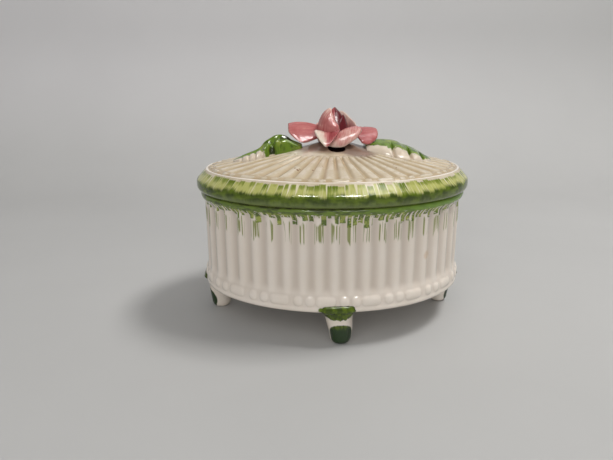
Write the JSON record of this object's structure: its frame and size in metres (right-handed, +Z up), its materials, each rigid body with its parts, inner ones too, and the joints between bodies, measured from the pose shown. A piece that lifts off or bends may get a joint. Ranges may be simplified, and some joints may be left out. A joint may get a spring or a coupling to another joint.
{
  "type": "trinket box",
  "caption": "Oval footed porcelain trinket box with ribbed sides, a lift-off domed lid, an applied rose and leaves.",
  "frame": {"origin": "centre of the oval plan, on the surface that the four feet stand on", "axes": "+Z up, +X along the long way of the oval, -Y towards the front foot"},
  "size_m": [0.13, 0.104, 0.0986],
  "materials": {
    "white_glaze": "clear gloss glaze over white body",
    "foot_glaze": "gloss glaze with hand-painted green toe and cap",
    "lid_glaze": "gloss glaze over cream wash with a green painted edge",
    "pink_glaze": "gloss glaze over hand-painted pink",
    "crimson_glaze": "gloss glaze over hand-painted crimson",
    "green_glaze": "gloss glaze over hand-painted leaf green"
  },
  "bodies": {
    "box": {"body_shell": "white_glaze", "foot_front": "foot_glaze", "foot_back": "foot_glaze", "foot_left": "foot_glaze", "foot_right": "foot_glaze"},
    "lid": {"lid_shell": "lid_glaze", "lid_flange": "lid_glaze", "rose_base": "white_glaze", "rose_bud": "crimson_glaze", "petal_inner_left": "crimson_glaze", "petal_inner_right": "crimson_glaze", "petal_inner_back": "crimson_glaze", "petal_left": "pink_glaze", "petal_front_left": "pink_glaze", "petal_front_right": "pink_glaze", "petal_right": "pink_glaze", "petal_back_left": "pink_glaze", "petal_back_right": "pink_glaze", "leaf_left": "green_glaze", "leaf_right": "green_glaze"}
  },
  "joints": [
    {"name": "lid_lift", "type": "slide", "parent": "box", "child": "lid", "axis": [0, 0, 1], "range_m": [0, 0.08]}
  ]
}
